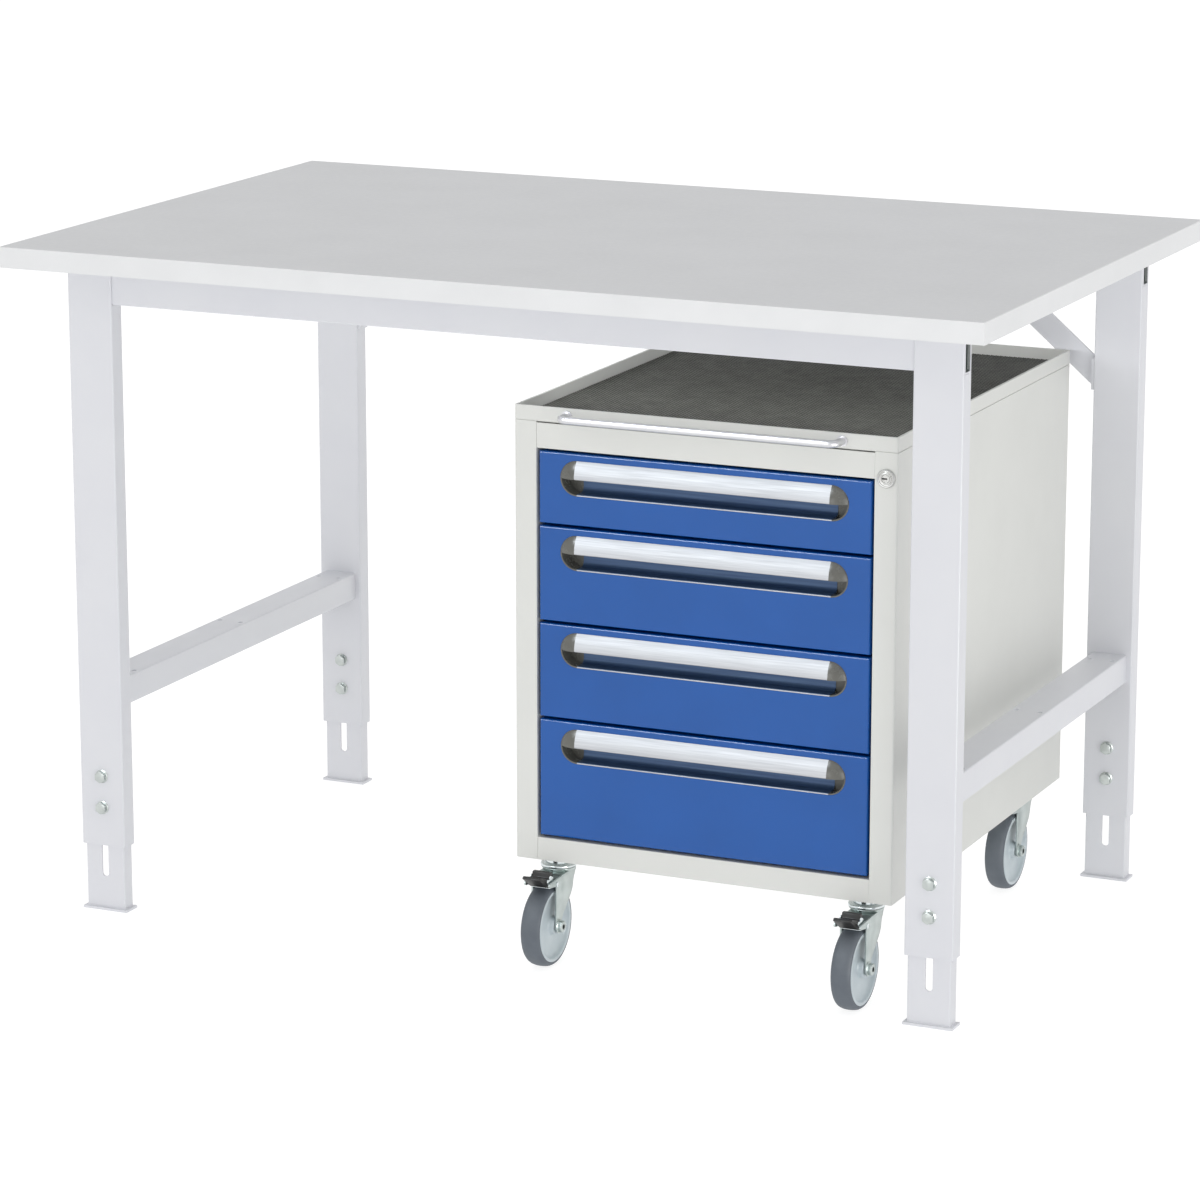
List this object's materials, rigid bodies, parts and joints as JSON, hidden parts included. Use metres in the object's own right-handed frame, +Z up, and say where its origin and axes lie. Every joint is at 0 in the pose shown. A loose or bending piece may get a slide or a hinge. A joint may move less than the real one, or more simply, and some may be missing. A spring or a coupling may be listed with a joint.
{
  "type": "workbench with roll-out drawer cabinet",
  "caption": "Height-adjustable workbench on slotted telescopic feet, with a rolling cabinet of blue drawers under it, a rimmed tray on top and recessed pull grips.",
  "frame": {"origin": "on the floor, at the middle of the worktop's outline", "axes": "+X along the worktop to the right as seen from the drawers' side, +Y to the back, +Z up"},
  "size_m": [1.25, 0.8, 0.84],
  "materials": {
    "frame_steel": "satin powder coat, light grey",
    "worktop_board": "fine pearl melamine face on chipboard",
    "edge_band": "smooth plastic edge band",
    "rail_plug": "moulded plastic plug",
    "zinc_bolts": "bright zinc plate",
    "cabinet_steel": "satin powder coat, light grey",
    "drawer_steel": "satin powder coat, gentian blue",
    "drawer_box_steel": "satin powder coat, light grey",
    "ribbed_rubber": "matt ribbed rubber",
    "chrome_bar": "bright chrome plate",
    "zinc_sheet": "bright zinc plate",
    "lock_nickel": "nickel plate",
    "grip_aluminium": "brushed and anodised",
    "grip_cap_plastic": "fine-textured moulded plastic",
    "tyre_rubber": "soft grey thermoplastic rubber",
    "hub_plastic": "moulded polypropylene",
    "pedal_plastic": "moulded nylon"
  },
  "bodies": {
    "bench": {"tabletop": "worktop_board", "edge_bands": "edge_band", "front_rail": "frame_steel", "rear_rail": "frame_steel", "rail_plugs": "rail_plug", "rear_braces": "frame_steel", "leg_front_left": "frame_steel", "leg_front_right": "frame_steel", "leg_rear_left": "frame_steel", "leg_rear_right": "frame_steel", "stretcher_left": "frame_steel", "stretcher_right": "frame_steel", "leg_bolts": "zinc_bolts"},
    "cabinet": {"cabinet_side_left": "cabinet_steel", "cabinet_side_right": "cabinet_steel", "cabinet_back": "cabinet_steel", "cabinet_base": "cabinet_steel", "cabinet_lower_bar": "cabinet_steel", "cabinet_upper_bar": "cabinet_steel", "top_tray": "cabinet_steel", "tray_mat": "ribbed_rubber", "push_bar": "chrome_bar", "drawer_runners": "zinc_sheet", "lock_body": "lock_nickel", "caster_heads": "zinc_sheet"},
    "lock_plug": {"lock_plug": "lock_nickel"},
    "foot_front_left": {"foot_front_left": "frame_steel"},
    "foot_front_right": {"foot_front_right": "frame_steel"},
    "foot_rear_left": {"foot_rear_left": "frame_steel"},
    "foot_rear_right": {"foot_rear_right": "frame_steel"},
    "drawer_1": {"drawer_1_front": "drawer_steel", "drawer_1_box": "drawer_box_steel", "drawer_1_grip": "grip_aluminium", "drawer_1_caps": "grip_cap_plastic"},
    "drawer_2": {"drawer_2_front": "drawer_steel", "drawer_2_box": "drawer_box_steel", "drawer_2_grip": "grip_aluminium", "drawer_2_caps": "grip_cap_plastic"},
    "drawer_3": {"drawer_3_front": "drawer_steel", "drawer_3_box": "drawer_box_steel", "drawer_3_grip": "grip_aluminium", "drawer_3_caps": "grip_cap_plastic"},
    "drawer_4": {"drawer_4_front": "drawer_steel", "drawer_4_box": "drawer_box_steel", "drawer_4_grip": "grip_aluminium", "drawer_4_caps": "grip_cap_plastic"},
    "swivel_front_left": {"fork_front_left": "zinc_sheet"},
    "wheel_front_left": {"tyre_front_left": "tyre_rubber", "hub_front_left": "hub_plastic"},
    "pedal_front_left": {"pedal_front_left": "pedal_plastic"},
    "swivel_front_right": {"fork_front_right": "zinc_sheet"},
    "wheel_front_right": {"tyre_front_right": "tyre_rubber", "hub_front_right": "hub_plastic"},
    "pedal_front_right": {"pedal_front_right": "pedal_plastic"},
    "swivel_rear_left": {"fork_rear_left": "zinc_sheet"},
    "wheel_rear_left": {"tyre_rear_left": "tyre_rubber", "hub_rear_left": "hub_plastic"},
    "swivel_rear_right": {"fork_rear_right": "zinc_sheet"},
    "wheel_rear_right": {"tyre_rear_right": "tyre_rubber", "hub_rear_right": "hub_plastic"}
  },
  "joints": [
    {"name": "foot_front_left_height", "type": "slide", "parent": "bench", "child": "foot_front_left", "axis": [0, 0, -1], "range_m": [-0.08, 0.03]},
    {"name": "foot_front_right_height", "type": "slide", "parent": "bench", "child": "foot_front_right", "axis": [0, 0, -1], "range_m": [-0.08, 0.03]},
    {"name": "foot_rear_left_height", "type": "slide", "parent": "bench", "child": "foot_rear_left", "axis": [0, 0, -1], "range_m": [-0.08, 0.03]},
    {"name": "foot_rear_right_height", "type": "slide", "parent": "bench", "child": "foot_rear_right", "axis": [0, 0, -1], "range_m": [-0.08, 0.03]},
    {"name": "cabinet_roll", "type": "slide", "parent": "bench", "child": "cabinet", "axis": [0, -1, 0], "range_m": [0, 0.75]},
    {"name": "drawer_1_slide", "type": "slide", "parent": "cabinet", "child": "drawer_1", "axis": [0, -1, 0], "range_m": [0, 0.45]},
    {"name": "drawer_2_slide", "type": "slide", "parent": "cabinet", "child": "drawer_2", "axis": [0, -1, 0], "range_m": [0, 0.45]},
    {"name": "drawer_3_slide", "type": "slide", "parent": "cabinet", "child": "drawer_3", "axis": [0, -1, 0], "range_m": [0, 0.45]},
    {"name": "drawer_4_slide", "type": "slide", "parent": "cabinet", "child": "drawer_4", "axis": [0, -1, 0], "range_m": [0, 0.45]},
    {"name": "lock_turn", "type": "hinge", "parent": "cabinet", "child": "lock_plug", "pos_m": [0.471, -0.288, 0.632], "axis": [0, -1, 0], "range_deg": [0, 90]},
    {"name": "caster_front_left_swivel", "type": "hinge", "parent": "cabinet", "child": "swivel_front_left", "pos_m": [0.047, -0.258, 0], "axis": [0, 0, 1], "continuous": true},
    {"name": "caster_front_left_roll", "type": "hinge", "parent": "swivel_front_left", "child": "wheel_front_left", "pos_m": [0.047, -0.294, 0.05], "axis": [1, 0, 0], "continuous": true},
    {"name": "brake_pedal_front_left", "type": "hinge", "parent": "swivel_front_left", "child": "pedal_front_left", "pos_m": [0.047, -0.3, 0.104], "axis": [1, 0, 0], "range_deg": [0, 10]},
    {"name": "caster_front_right_swivel", "type": "hinge", "parent": "cabinet", "child": "swivel_front_right", "pos_m": [0.443, -0.258, 0], "axis": [0, 0, 1], "continuous": true},
    {"name": "caster_front_right_roll", "type": "hinge", "parent": "swivel_front_right", "child": "wheel_front_right", "pos_m": [0.443, -0.294, 0.05], "axis": [1, 0, 0], "continuous": true},
    {"name": "brake_pedal_front_right", "type": "hinge", "parent": "swivel_front_right", "child": "pedal_front_right", "pos_m": [0.443, -0.3, 0.104], "axis": [1, 0, 0], "range_deg": [0, 10]},
    {"name": "caster_rear_left_swivel", "type": "hinge", "parent": "cabinet", "child": "swivel_rear_left", "pos_m": [0.047, 0.267, 0], "axis": [0, 0, 1], "continuous": true},
    {"name": "caster_rear_left_roll", "type": "hinge", "parent": "swivel_rear_left", "child": "wheel_rear_left", "pos_m": [0.047, 0.231, 0.05], "axis": [1, 0, 0], "continuous": true},
    {"name": "caster_rear_right_swivel", "type": "hinge", "parent": "cabinet", "child": "swivel_rear_right", "pos_m": [0.443, 0.267, 0], "axis": [0, 0, 1], "continuous": true},
    {"name": "caster_rear_right_roll", "type": "hinge", "parent": "swivel_rear_right", "child": "wheel_rear_right", "pos_m": [0.443, 0.231, 0.05], "axis": [1, 0, 0], "continuous": true}
  ]
}
